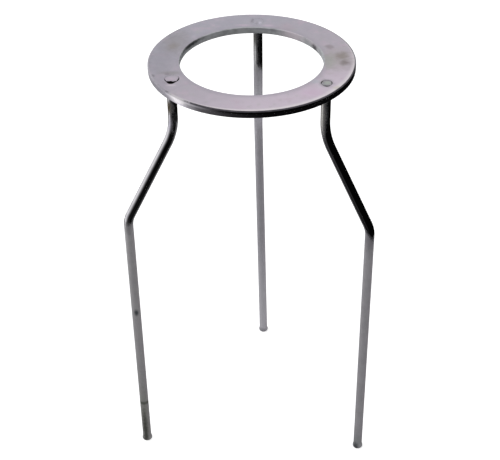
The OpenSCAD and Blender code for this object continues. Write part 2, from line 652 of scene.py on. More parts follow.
@dataclass(frozen=True)
class SatinNickel:
    """Nickel plate over rolled steel, buffed to a satin and handled for years.

    Clean nickel reflects about half the light and leans to lavender here. A film of tarnish dulls it to a
    bluish grey towards the left and back, with brown and green stains where wet ware has stood. Painted
    shade darkens it towards the opening, a painted highlight brightens the outer margin at the front, and a
    painted highlight lies just in front of the left head.
    """

    dull: str = "#a4a1ad"
    # it brightens from the left back to the right front, by its place in mm, which clouds shift
    brighter_way: tuple[float, float, float] = (0.64, -0.77, 0)
    cloud_mm: float = 9.0
    cloud_shift: float = 14.0
    middle: Layer = Layer("#aca5b0", -33.0, 14.0)
    bright: Layer = Layer("#c8bbc9", 8.0, 60.0)
    # by the level of other clouds, with their width
    pink: Layer = Layer("#bcaab9", 0.5, 0.72, 0.45)
    pink_mm: float = 5.0
    green: Layer = Layer("#a3a5a2", 0.56, 0.76, 0.35)
    green_mm: float = 3.5
    # by the distance from the ring's axis in mm: painted shade towards the opening, and a painted highlight
    # on the outer margin
    shaded: Layer = Layer("#a09aa6", 39.5, 35.2, 0.7)
    worn: Layer = Layer("#d8d2d6", 50.2, 52.4, 0.85)
    # the margin carries the painted highlight only at the front, so it moves outwards where the plate is
    # duller
    highlight_shift: float = 0.06
    # emery marks run from front to back; 0.1 mm apart would not show, so they are drawn 0.4 mm apart
    emery: Marks = Marks(spacing=0.4, depth=0.004, strength=0.2, squeeze=(1, 0.06, 1))
    roughness: float = 0.42
    metallic: float = 0.5
    fray_mm: float = 2.2
    stains: tuple[StainAndPaintedLight, ...] = (
        StainAndPaintedLight((-44, -2, 0), (16, 62, 0), "#928f9a", 0.6),
        StainAndPaintedLight((-50.5, -14, 0), (4.4, 34, 0), "#86848f", 0.8),
        StainAndPaintedLight((-41, -31, 0), (9, 22, 0), "#9a93a0", 0.5),
        StainAndPaintedLight((-39, 17, 0), (15, 30, 0), "#8f8b90", 0.7),
        StainAndPaintedLight((-40, 12, 0), (6, 9, 0), "#89827f", 0.6),
        StainAndPaintedLight((42, 3, 0), (20, 27, 0), "#9d9796", 0.65),
        StainAndPaintedLight((37.6, 15.4, 0), (4.4, 6.0, 0), "#8a8086", 0.7),
        StainAndPaintedLight((43.8, 6.2, 0), (7.5, 9, 0), "#857c76", 0.75),
        StainAndPaintedLight((45.3, -0.7, 0), (5.2, 6.2, 0), "#7a7070", 0.8),
        StainAndPaintedLight((37.4, 0.0, 0), (6.5, 16, 0), "#9a9d96", 0.6),
        StainAndPaintedLight((-38.0, -16.2, 0), (12, 4.2, 0), "#868485", 0.6),
        StainAndPaintedLight((-39.1, -17.3, 0), (3.4, 3.0, 0), "#837c85", 0.6),
        StainAndPaintedLight((-46.4, -19.3, 0), (3, 3.2, 0), "#706e75", 0.7),
        StainAndPaintedLight((-36.8, -34.7, 0), (2.4, 2.0, 0), "#6c666c", 0.75),
        StainAndPaintedLight((-37.0, -21.6, 0), (6.0, 4.6, 0), "#bfb0be", 0.6),
        # painted highlight: a light streak just in front of the left head's open groove
        StainAndPaintedLight((-35.9, -28.0, 0), (5.0, 2.2, 0), "#cbbfca", 0.6),
        StainAndPaintedLight((30.5, -31, 0), (13, 9, 0), "#c8b1c7", 0.6),
        StainAndPaintedLight((15, 36, 0), (11, 10, 0), "#a89ba6", 0.5),
        StainAndPaintedLight((-12, 43, 0), (22, 8, 0), "#a4a0ad", 0.5),
        StainAndPaintedLight((-7, 37.4, 0), (9, 2.6, 0), "#c2b1c1", 0.6),
        StainAndPaintedLight((5.6, 37.6, 0), (6, 2.6, 0), "#c2b1c1", 0.6),
        StainAndPaintedLight((36, -22, 0), (9, 9, 0), "#bdb3c1", 0.4),
        StainAndPaintedLight((36.8, -21.9, 0), (6.8, 8.2, 0), "#7b7d80", 0.8),
        StainAndPaintedLight((37.2, -21.5, 0), (3.4, 3.6, 0), "#a3a8a3", 0.9),
        StainAndPaintedLight((35.3, -20.4, 0), (1.8, 2.6, 0), "#807f80", 0.8),
        StainAndPaintedLight((42, -26, 0), (5, 4, 0), "#bfb8ab", 0.5),
        StainAndPaintedLight((31.5, -20.5, 0), (5, 5, 0), "#b0b3bc", 0.6),
        StainAndPaintedLight((1.3, 40.5, 0), (2.0, 3.4, 0), "#d0ccda", 0.5),
        StainAndPaintedLight((-0.4, 40.4, 0), (1.6, 4.4, 0), "#8f8c97", 0.6),
        StainAndPaintedLight((-2.9, 42.4, 0), (2.2, 6.0, 0), "#87848e", 0.7),
    )

    def build(self) -> Material:
        """Builds the finish.

        Returns:
            The material.
        """
        coat = Coat("satin nickel plate on rolled steel", self.dull)
        tree, where = coat.tree, coat.where
        pair = {0: where, 1: self.brighter_way}
        along = add_node(tree, Kind.VECTOR_MATH, pair, operation="DOT_PRODUCT").outputs["Value"]
        mixed = {0: coat.cloud(self.cloud_mm, detail=2.0), 1: self.cloud_shift, 2: along}
        drift = add_node(tree, Kind.MATH, mixed, operation="MULTIPLY_ADD").outputs[0]
        coat.cover(self.middle, drift)
        coat.cover(self.bright, drift)
        coat.cover(self.pink, coat.cloud(self.pink_mm, detail=2.0))
        coat.cover(self.green, coat.cloud(self.green_mm))
        flat = add_node(tree, Kind.VECTOR_MATH, {0: where, 1: (1, 1, 0)}, operation="MULTIPLY").outputs[0]
        radius = add_node(tree, Kind.VECTOR_MATH, {0: flat}, operation="LENGTH").outputs["Value"]
        # painted shade towards the opening
        coat.cover(self.shaded, radius)
        # painted highlight on the outer margin, only at the front
        front = {0: drift, 1: self.highlight_shift, 2: radius}
        coat.cover(self.worn, add_node(tree, Kind.MATH, front, operation="MULTIPLY_ADD").outputs[0])
        ragged = coat.cloud(self.fray_mm)
        for stain in self.stains:
            stain.lay(coat, ragged)
        relief = self.emery.relief(tree, where)
        return coat.finish([self.roughness], [self.metallic], relief)


@dataclass(frozen=True)
class Film:
    """The grey oxide film on a leg below a level, in millimetres; its edge leans across the rod.

    It fades in from above the level to below it, and the noise moves the edge up and down by its fray.
    """

    top: float
    colour: str
    lean: float = 0.0
    above: float = 3.0
    below: float = 1.5
    fray: float = 1.5

    def lay(self, coat: Coat, ragged: Socket) -> None:
        """Lays the film over a coat.

        Args:
            coat: The coat.
            ragged: Noise round 0.5 that frays the film's edge.
        """
        leaning = {0: coat.where, 1: (self.lean, 0, 1)}
        level = add_node(coat.tree, Kind.VECTOR_MATH, leaning, operation="DOT_PRODUCT").outputs["Value"]
        frayed = {0: ragged, 1: self.fray, 2: level}
        edge = add_node(coat.tree, Kind.MATH, frayed, operation="MULTIPLY_ADD").outputs[0]
        coat.cover(Layer(self.colour, self.top + self.above, self.top - self.below, dulls=1.0), edge)


@dataclass(frozen=True)
class RodNickel:
    """Nickel plate on bright drawn rod, polished above the lower bend and dulled below it.

    The polished part mirrors its surroundings almost black and white. On the upright run, hands and
    bench tops have left a thin grey oxide film, so it is an even mid grey. Tarnish darkens the left foot,
    and the other feet are darker at the bottom. Just under the ring, the left and back stubs carry painted
    shade over a brown tarnish; all three stubs carry painted highlights on their left sides, and the left
    stub a painted dark reflection on its right side. The back leg's slope and upright run are painted
    lighter.
    """

    leg: Leg
    clean: str
    film: Film
    stains: tuple[StainAndPaintedLight, ...] = ()
    # by the level of clouds, with their width
    mottled: Layer = Layer("#a5a3a8", 0.4, 0.72, 0.3)
    mottled_mm: float = 4.5
    # die lines 0.1 mm apart would not show, so they are drawn 0.5 mm apart; they run along the rod
    die_lines: Marks = Marks(spacing=0.5, depth=0.003, strength=0.25, squeeze=(1, 1, 0.02))
    edge_tint: str = "#8c8c90"
    # where it is polished, then under the film
    roughness: tuple[float, float] = (0.05, 0.42)
    metallic: tuple[float, float] = (1.0, 0.45)
    fray_mm: float = 1.4

    def build(self) -> Material:
        """Builds the finish.

        Returns:
            The material.
        """
        coat = Coat(f"nickel plate on drawn rod, {self.leg.value}", self.clean)
        ragged = coat.cloud(self.fray_mm)
        self.film.lay(coat, ragged)
        coat.cover(self.mottled, coat.cloud(self.mottled_mm))
        for stain in self.stains:
            stain.lay(coat, ragged)
        straight = add_node(coat.tree, Kind.ATTRIBUTE, attribute_name="straightened").outputs["Vector"]
        relief = self.die_lines.relief(coat.tree, straight)
        return coat.finish(self.roughness, self.metallic, relief, self.edge_tint)


@dataclass(frozen=True)
class Metal:
    """A plain metal finish whose colour and gloss drift a little across the surface.

    Where a stain dulls it, it goes over to the dulled roughness and metallic share.
    """

    name: str
    colour: str
    darker: str
    roughness: float
    metallic: float = 1.0
    # the darker colour comes in where clouds of this width pass from the first level to the second
    patch_mm: float = 3.0
    patch_levels: tuple[float, float] = (0.35, 0.7)
    edge_tint: str = "#ffffff"
    stains: tuple[StainAndPaintedLight, ...] = ()
    dulled_roughness: float = 0.42
    dulled_metallic: float = 0.5
    fray_mm: float = 1.4

    def build(self) -> Material:
        """Builds the finish.

        Returns:
            The material.
        """
        coat = Coat(self.name, self.colour)
        coat.cover(Layer(self.darker, *self.patch_levels), coat.cloud(self.patch_mm))
        ragged = coat.cloud(self.fray_mm)
        for stain in self.stains:
            stain.lay(coat, ragged)
        roughness = (self.roughness, self.dulled_roughness)
        return coat.finish(roughness, (self.metallic, self.dulled_metallic), edge_tint=self.edge_tint)


# the rim was turned and polished, so it mirrors as clearly as the rods do
POLISHED_RIM = Metal(
    "polished nickel plate on the ring's rim",
    "#cbc7cf",
    "#bfbbc4",
    roughness=0.1,
    edge_tint="#8c8c90",
    stains=(
        StainAndPaintedLight((-50, -10, 230), (33, 62, 12), "#a6a3ac", 0.9, dulls=0.9),
        StainAndPaintedLight((-42, -28, 230), (18, 22, 12), "#a6a3ac", 0.9, dulls=0.9),
        StainAndPaintedLight((50.6, 4, 230), (8, 22, 9), "#a6a3ac", 0.9, dulls=0.9),
        # painted highlight: a near-white patch on the rim at the front left
        StainAndPaintedLight((-31.3, -40.0, 230.6), (13, 12, 3.4), "#e4e0e4", 1.0),
    ),
)
# the corner above it is painted dark as a painted dark reflection at the front, and is painted back
# towards the plate's colour at the left, the right and the back
CORNER_PAINTED_DARK = Metal(
    "painted dark reflection on the ring's upper corner",
    "#4a474d",
    "#3b383e",
    roughness=0.35,
    metallic=0.7,
    stains=(
        StainAndPaintedLight((-44, -8, 231.6), (50, 90, 5), "#a5a1aa", 1.0),
        StainAndPaintedLight((51, 7, 231.6), (8, 24, 4), "#96939c", 0.9),
        # painted highlight at the front left, over the one on the rim
        StainAndPaintedLight((-32.0, -39.6, 231.7), (14, 12, 3), "#c0bcc0", 1.0),
        StainAndPaintedLight((0, 50, 231.6), (90, 16, 4), "#a19da8", 0.8),
    ),
)
# the bore was blanked and left rough under the plate, so it scatters the light; it carries painted
# highlights at the right back and painted shade on its left and right walls, and is darker in a thin band
# at the back
SHEARED_BORE = Metal(
    "nickel plate on a sheared edge",
    "#b0b2b5",
    "#999b9e",
    roughness=0.5,
    metallic=0.45,
    stains=(
        # painted highlights at the right back
        StainAndPaintedLight((20, 30, 230.8), (20, 12, 12), "#c3b8c1", 0.8),
        StainAndPaintedLight((29, 19, 231.2), (12, 14, 3), "#b7adb6", 0.6),
        # painted shade on the left and right walls
        StainAndPaintedLight((-31.6, 16, 231.2), (12, 24, 2.8), "#2a2a2c", 0.9),
        StainAndPaintedLight((30.0, 18.3, 229.8), (5, 5, 3.4), "#39343a", 0.85),
        StainAndPaintedLight((6, 35, 230.9), (20, 6, 1.2), "#86838c", 0.6),
    ),
)
# the countersinks are painted nearly black, as painted shade in the gaps beside the heads, a little lighter
# round the right head
SINK_PAINTED_SHADE = Metal(
    "countersink in painted shade",
    "#2a2729",
    "#171516",
    roughness=0.7,
    metallic=0.0,
    patch_mm=0.8,
    stains=(StainAndPaintedLight((36.9, -21.3, 231), (9, 9, 9), "#6c6b6d", 0.9, fray=0.5),),
)
# nickel over bare steel with a thin grey oxide: it mirrors little, so it reads as an even mid grey
ROD_FINISHES = (
    RodNickel(
        Leg.BACK,
        "#c9c7ce",
        Film(207.0, "#bbb9c0", 2.0),
        (
            # painted light: the slope and the upright run are painted lighter
            StainAndPaintedLight((0, 58, 175), (14, 44, 60), "#dddbe4", 0.8),
            StainAndPaintedLight((0.3, 66.5, 22), (9, 9, 100), "#d2d0d7", 0.8),
            # darker at the bottom of the foot
            StainAndPaintedLight((-0.3, 66.6, 0.3), (6.4, 4.4, 5.6), "#84838a", 0.85),
            # painted shade just under the ring, over a brown tarnish
            StainAndPaintedLight((-1.6, 41.0, 222.5), (4.4, 5.0, 12), "#2c2a1c", 0.9, 0.6),
            # painted highlight on the stub's left side
            StainAndPaintedLight((-1.3, 40.6, 212), (3.2, 3.6, 22), "#b4b5b4", 0.6, 0.4),
        ),
    ),
    RodNickel(
        Leg.LEFT,
        "#cdcbcf",
        Film(153.0, "#bcbabd"),
        (
            StainAndPaintedLight((-61.3, -32.9, 151), (3, 3, 10), "#949297", 0.7),
            StainAndPaintedLight((-61, -34.5, 18), (7, 7, 66), "#9c9c96", 0.75),
            StainAndPaintedLight((-61.1, -34.5, 7), (3.4, 3.4, 42), "#4c4d48", 0.85),
            StainAndPaintedLight((-60.8, -33.9, 29.6), (0, 0, 2.6), "#5c6056", 0.7, fray=0.5),
            StainAndPaintedLight((-60.7, -33.4, 95.8), (2.8, 2.8, 4.6), "#474d51", 0.9, fray=0.3),
            # painted shade just under the ring, over a brown tarnish
            StainAndPaintedLight((-38.4, -22.7, 217), (5.0, 5.0, 8.5), "#4d422c", 0.95, 0.75),
            # painted highlight on the stub's left side
            StainAndPaintedLight((-38.3, -23.3, 207.5), (3.6, 4.0, 9), "#b8b4c2", 0.7, 0.35),
            # painted dark reflection on the stub's right side
            StainAndPaintedLight((-35.3, -23.3, 211), (2.6, 2.8, 4.4), "#22211d", 0.9, 0.3),
        ),
    ),
    RodNickel(
        Leg.RIGHT,
        "#cdcbd0",
        Film(243.0, "#bfbdc2", 1.5),
        (
            StainAndPaintedLight((61.2, -33.4, 151), (7, 7, 22), "#96949a", 0.8),
            StainAndPaintedLight((60, -33.5, 4), (8, 8, 22), "#a2a5a8", 0.8),
            # darker at the bottom of the foot
            StainAndPaintedLight((60.3, -32.7, 1.5), (3.4, 3.4, 7), "#4c4f52", 0.85),
            # painted highlight on the stub's left side
            StainAndPaintedLight((35.4, -22.9, 215), (4.4, 4.3, 27), "#cbc9c4", 0.85, 0.42),
        ),
    ),
)


# ---------------------------------------------------------------- the ring


@dataclass(frozen=True)
class Nick:
    """A dent that a knock has left in the ring's upper outer edge: its direction in degrees, then in mm."""

    azimuth: float
    width: float
    depth: float


@dataclass
class RingPlate:
    """The flat ring, with its blanked edges and three countersunk leg holes."""

    inner_r: float
    outer_r: float
    top_z: float
    bottom_z: float
    sizes: PlateSizes = PlateSizes()
    # how finely it is meshed; a hole takes up a sector of grid lines on each side of its middle
    around: int = 720
    across: int = 20
    sector: int = 16
    corner_steps: int = 8
    lower_steps: int = 5
    rim_rows: int = 12
    bore_rows: int = 6
    seat_rows: int = 3
    # shares of the way over a face at which loops lie close to its edges, so that it is shaded flat
    margins: tuple[float, float] = (0.003, 0.03)
    patch_shares: tuple[float, ...] = (0.0, 0.03, 0.1, 0.2, 0.32, 0.46, 0.62, 0.8)
    nicks: tuple[Nick, ...] = (Nick(203.0, 1.2, 0.3), Nick(206.0, 0.8, 0.2), Nick(223.5, 0.7, 0.35))

    @property
    def pitch_r(self) -> float:
        """Radius on which the legs stand."""
        return (self.inner_r + self.outer_r) / 2 - self.sizes.leg_inset * MM

    @property
    def thickness(self) -> float:
        """Thickness of the plate."""
        return self.top_z - self.bottom_z

    @property
    def middle_z(self) -> float:
        """Height of the plate's middle."""
        return (self.top_z + self.bottom_z) / 2

    def relief(self, x: float, y: float) -> float:
        """Height by which the top face departs from a true plane, never above it."""
        wave = noise.noise(Vector((x, y, 0)) / (self.sizes.wave_w * MM)) - 1
        return self.sizes.wave_h * MM * wave

    def nick_depth(self, azimuth: float) -> float:
        """Depth to which knocks have dented the upper outer edge in one direction, in degrees."""
        away = ((n, math.radians(turn_between(azimuth, n.azimuth)) * self.outer_r) for n in self.nicks)
        return max(n.depth * MM * bump_at(distance, n.width * MM) for n, distance in away)

    def point(self, radius: float, azimuth: float, z: float) -> Vector:
        """A point of the ring in its own polar coordinates, azimuth in degrees."""
        a = math.radians(azimuth)
        return Vector((radius * math.cos(a), radius * math.sin(a), z))

    def worn_point(self, radius: float, azimuth: float, z: float) -> Vector:
        """Presses the nicks into a point of the edges.

        Args:
            radius: Distance from the ring's axis.
            azimuth: Direction from it, in degrees.
            z: Height.

        Returns:
            The point where it has come to lie.
        """
        closeness = bump_at(self.outer_r - radius + self.top_z - z, self.sizes.nick_reach * MM)
        depth, sizes = self.nick_depth(azimuth) * closeness, self.sizes
        return self.point(radius - sizes.nick_inward * depth, azimuth, z - sizes.nick_down * depth)

    def corner_profile(self) -> Profile:
        """Draws the upper outer corner, which has worn round to an ellipse.

        Returns:
            Radii and heights from the top face down.
        """
        width, height = self.sizes.corner_w * MM, self.sizes.corner_h * MM
        turns = (math.radians(a) for a in between(0, 90, self.corner_steps))
        inner, low = self.outer_r - self.edge_barrel - width, self.top_z - height
        return [(inner + width * math.sin(t), low + height * math.cos(t)) for t in turns]

    @property
    def edge_barrel(self) -> float:
        """How far the barrelled rim has drawn in where it meets the upper corner."""
        below = 1 - self.sizes.corner_h * MM / (self.thickness / 2)
        return self.sizes.barrel * MM * below**2

    def rim_profile(self) -> Profile:
        """Draws the outer edge below the upper corner: a barrelled rim and a small round corner.

        Returns:
            Radii and heights from the upper corner down.
        """
        barrel, lower = self.sizes.barrel * MM, self.sizes.lower_edge_r * MM
        middle, half = self.middle_z, self.thickness / 2
        heights = between(self.top_z - self.sizes.corner_h * MM, self.bottom_z + lower, self.rim_rows)
        wall = [(self.outer_r - barrel * ((z - middle) / half) ** 2, z) for z in heights]
        centre = (wall[-1][0] - lower, self.bottom_z + lower)
        return wall + arc(centre, lower, 0, -90, self.lower_steps)[1:]

    def bore_profile(self) -> Profile:
        """Draws the opening's edge: a rolled corner, a straight wall and a small burr.

        Returns:
            Radii and heights from the top face down.
        """
        upper, lower = self.sizes.rollover_r * MM, self.sizes.burr_r * MM
        skin = self.sizes.rollover_skin * MM
        corner = arc((self.inner_r + upper, self.top_z - upper), upper, 90, 180, self.corner_steps)
        heights = between(self.top_z - upper - skin, self.bottom_z + lower, self.bore_rows)
        wall = [(self.inner_r, z) for z in heights]
        return corner + wall + [(self.inner_r + lower, self.bottom_z)]

    def loops(self, draft: MeshDraft, profile: Profile) -> list[list[int]]:
        """Turns each point of a profile into a loop round the ring.

        Args:
            draft: Mesh under construction.
            profile: Radii and heights.

        Returns:
            Point numbers of each loop.
        """
        azimuths = [i * 360 / self.around for i in range(self.around)]
        return [draft.add_loop(self.worn_point(r, a, z) for a in azimuths) for r, z in profile]

    def build(self, materials: Sequence[Material]) -> Piece:
        """Builds the ring.

        Args:
            materials: Materials in the order of RingFace.

        Returns:
            The ring.
        """
        draft = MeshDraft()
        corner = self.loops(draft, self.corner_profile())
        rim = [corner[-1], *self.loops(draft, self.rim_profile()[1:])]
        bore = self.loops(draft, self.bore_profile())
        draft.skin(corner[::-1], RingFace.CORNER)
        draft.skin(rim[::-1], RingFace.RIM)
        draft.skin(bore, RingFace.BORE)
        top = self.face_loops(draft, bore[0], corner[0])
        bottom = self.face_loops(draft, bore[-1], rim[-1])
        middles = {place: round(place.azimuth * self.around / 360) for place in LEGS}
        gaps = {(c + k) % self.around for c in middles.values() for k in range(-self.sector, self.sector)}
        for j in set(range(self.around)) - gaps:
            k = (j + 1) % self.around
            for i in range(len(top) - 1):
                draft.add_face((top[i][j], top[i + 1][j], top[i + 1][k], top[i][k]), RingFace.FLAT)
                under = (bottom[i][j], bottom[i][k], bottom[i + 1][k], bottom[i + 1][j])
                draft.add_face(under, RingFace.FLAT)
        for place, middle in middles.items():
            self.hole(draft, place, middle, top, bottom)
        return draft.to_object("ring_plate", materials)

    def face_loops(self, draft: MeshDraft, inner: list[int], outer: list[int]) -> list[list[int]]:
        """Fills one flat face with loops, close to its edges so that the shading stays flat.

        Args:
            draft: Mesh under construction.
            inner: Loop at the face's inner edge.
            outer: Loop at its outer edge.

        Returns:
            All the loops from the inner edge to the outer, both included.
        """
        near, inside = self.margins
        shares = [near, *between(inside, 1 - inside, self.across), 1 - near]
        found = [inner]
        for share in shares:
            ring = [draft.points[i].lerp(draft.points[j], share) for i, j in zip(inner, outer)]
            for p in ring:
                if p.z > self.middle_z:
                    p.z += self.relief(p.x, p.y)
            found.append(draft.add_loop(ring))
        return [*found, outer]

    def border(self, rows: list[list[int]], columns: list[int]) -> list[int]:
        """Points round a sector of a face, in order.

        Args:
            rows: Loops of the face from the inner edge outwards.
            columns: Numbers of the grid lines across the sector.

        Returns:
            Point numbers round the sector.
        """
        outwards = [row[columns[-1]] for row in rows[:-1]]
        back = [rows[-1][c] for c in reversed(columns[1:])]
        inwards = [row[columns[0]] for row in reversed(rows[1:])]
        return [rows[0][c] for c in columns[:-1]] + outwards + back + inwards

    def patch(
        self,
        draft: MeshDraft,
        circle: list[Vector],
        frame: list[int],
        worn: bool,
    ) -> list[list[int]]:
        """Loops that run from a hole's edge to the border of its sector.

        Args:
            draft: Mesh under construction.
            circle: The hole's edge.
            frame: Point numbers round the sector, one for each point of the circle.
            worn: Whether the face has the top face's relief.

        Returns:
            The loops, with the border last.
        """
        found = []
        for share in self.patch_shares:
            ring = [p.lerp(draft.points[i], share) for p, i in zip(circle, frame)]
            for p in ring:
                p.z = circle[0].z + (self.relief(p.x, p.y) if worn else 0.0)
            found.append(draft.add_loop(ring))
        return [*found, frame]

    def hole(
        self,
        draft: MeshDraft,
        place: LegPlace,
        middle: int,
        top: list[list[int]],
        bottom: list[list[int]],
    ) -> None:
        """Fits one countersunk hole into the gap that is left for it in the grid.

        Args:
            draft: Mesh under construction.
            place: The leg whose tenon goes through.
            middle: Number of the grid line through the hole's middle.
            top: Point loops of the top face, from the bore outwards.
            bottom: Point loops of the underside, likewise.
        """
        centre = self.point(self.pitch_r, place.azimuth, 0)
        hole_r = (self.sizes.tenon_d / 2 + self.sizes.hole_fit) * MM
        sink_z = self.top_z - self.sizes.sink_depth * MM
        columns = [(middle + k) % self.around for k in range(-self.sector, self.sector + 1)]
        above, below = self.border(top, columns), self.border(bottom, columns)
        offsets = [draft.points[i] - centre for i in above]
        towards = [Vector((p.x, p.y, 0)).normalized() for p in offsets]
        bearings = [math.degrees(math.atan2(d.x, -d.y)) for d in towards]
        sink_r = [place.riveting.edge_r(b) * MM for b in bearings]
        bevel = [self.sizes.sink_bevel * MM * place.riveting.openness(b) for b in bearings]
        high = centre + Vector((0, 0, self.top_z))
        low = centre + Vector((0, 0, self.bottom_z))
        edge = [high + d * (r + b) for d, r, b in zip(towards, sink_r, bevel)]
        upper = self.patch(draft, edge, above, True)
        lower = self.patch(draft, [low + d * hole_r for d in towards], below, False)
        draft.skin(upper, RingFace.FLAT)
        draft.skin([loop[::-1] for loop in lower], RingFace.FLAT)
        rings = []
        for up in between(1, 0, self.seat_rows):
            ring = []
            for d, r, b in zip(towards, sink_r, bevel):
                height = Vector((0, 0, sink_z + (self.top_z - b - sink_z) * up))
                ring.append(centre + d * (hole_r + (r - hole_r) * up) + height)
            rings.append(ring)
        for z in between(sink_z, self.bottom_z, self.seat_rows)[1:-1]:
            rings.append([centre + d * hole_r + Vector((0, 0, z)) for d in towards])
        seat = [upper[0], *(draft.add_loop(ring) for ring in rings), lower[0]]
        draft.skin([loop[::-1] for loop in seat], RingFace.SEAT)


# ---------------------------------------------------------------- a leg


@dataclass
class RodPath:
    """Cross-sections that are gathered while a rod is run out and bent: frame and distance along it.

    The rod goes down the frame's -Z. The frame is in metres, and lengths are given in millimetres.
    """

    frame: Matrix
    along: float = 0.0
    found: list[tuple[Matrix, float]] = field(default_factory=list)

    def run(self, length: float, pieces: int) -> None:
        """Runs straight on.

        Args:
            length: How far.
            pieces: Number of sections it makes.
        """
        start, base = self.frame, self.along
        for s in between(0, length, pieces)[1:]:
            self.frame = start @ Matrix.Translation((0, 0, -s * MM))
            self.along = base + s
            self.found.append((self.frame, self.along))

    def bend(self, radius: float, turn: float, facing: float, pieces: int) -> None:
        """Goes round a bend.

        Args:
            radius: Radius of the bend's centre line.
            turn: How far it turns, in degrees.
            facing: Direction about Z towards which it turns, in degrees.
            pieces: Number of sections it makes.
        """
        start, base = self.frame, self.along
        face = Matrix.Rotation(math.radians(facing), 4, "Z")
        arm = Matrix.Translation((radius * MM, 0, 0))
        for angle in between(0, turn, pieces)[1:]:
            turned = arm @ Matrix.Rotation(math.radians(-angle), 4, "Y") @ arm.inverted()
            self.frame = start @ face @ turned @ face.inverted()
            self.along = base + radius * math.radians(angle)
            self.found.append((self.frame, self.along))


